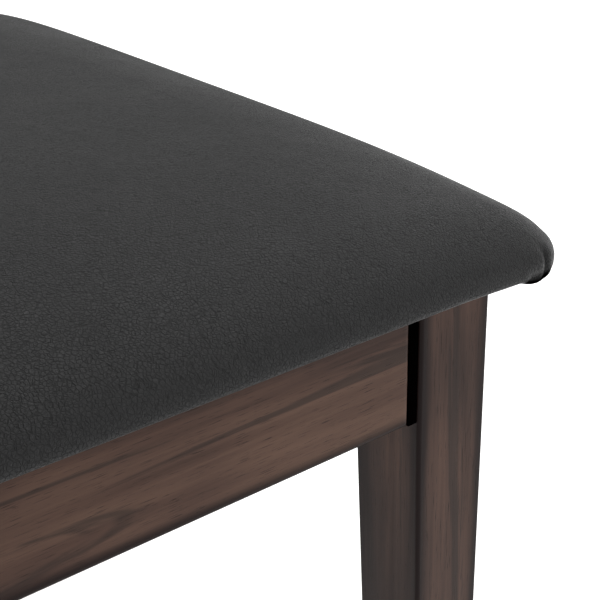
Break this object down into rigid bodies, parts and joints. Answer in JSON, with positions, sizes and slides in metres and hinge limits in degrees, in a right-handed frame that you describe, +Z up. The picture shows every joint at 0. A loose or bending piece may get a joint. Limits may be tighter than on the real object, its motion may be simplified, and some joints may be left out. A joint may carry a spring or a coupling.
{
  "type": "piano bench",
  "caption": "Low bench with a crowned leather-covered seat lid that overhangs a stained wood frame on square tapered legs and lifts over a music compartment.",
  "frame": {"origin": "on the floor, under the middle of the seat", "axes": "+X along the bench to the right as the player sits, +Y across the bench from the player towards the hinged side, +Z up"},
  "size_m": [0.57, 0.362, 0.49],
  "materials": {
    "leather_cover": "satin, pebbled",
    "foam": "open-cell foam",
    "plywood": "unfinished",
    "dust_cloth": "matte nonwoven",
    "staple_wire": "bright",
    "hinge_steel": "brass-toned, satin",
    "bumper_rubber": "matte",
    "stained_wood": "satin walnut stain",
    "black_lacquer": "black, satin",
    "dowel_wood": "bare beech",
    "zinc_steel": "zinc plated",
    "block_wood": "bare, lightly stained",
    "glide_nylon": "matte"
  },
  "bodies": {
    "frame": {"hinge_lower_leaves": "hinge_steel", "hinge_pins": "hinge_steel", "hinge_rail_screws": "hinge_steel", "lid_bumpers": "bumper_rubber", "leg_front_left": "stained_wood", "leg_front_right": "stained_wood", "leg_back_left": "stained_wood", "leg_back_right": "stained_wood", "front_rail": "stained_wood", "back_rail": "stained_wood", "left_rail": "stained_wood", "right_rail": "stained_wood", "reveal_strips": "black_lacquer", "rail_dowels": "dowel_wood", "corner_block_front_left": "block_wood", "corner_block_front_right": "block_wood", "corner_block_back_left": "block_wood", "corner_block_back_right": "block_wood", "corner_block_screws": "zinc_steel", "hanger_bolts": "zinc_steel", "hanger_washers": "zinc_steel", "hanger_nuts": "zinc_steel", "floor_panel": "plywood", "front_cleat": "block_wood", "back_cleat": "block_wood", "left_cleat": "block_wood", "right_cleat": "block_wood", "cleat_screws": "zinc_steel", "foot_glides": "glide_nylon", "glide_nails": "zinc_steel"},
    "lid": {"seat_cover": "leather_cover", "seat_foam": "foam", "seat_board": "plywood", "dust_cover": "dust_cloth", "cover_staples": "staple_wire", "hinge_upper_leaves": "hinge_steel", "hinge_lid_screws": "hinge_steel"}
  },
  "joints": [
    {"name": "lid_hinge", "type": "hinge", "parent": "frame", "child": "lid", "pos_m": [0, 0.154, 0.4393], "axis": [-1, 0, 0], "range_deg": [0, 100]}
  ]
}
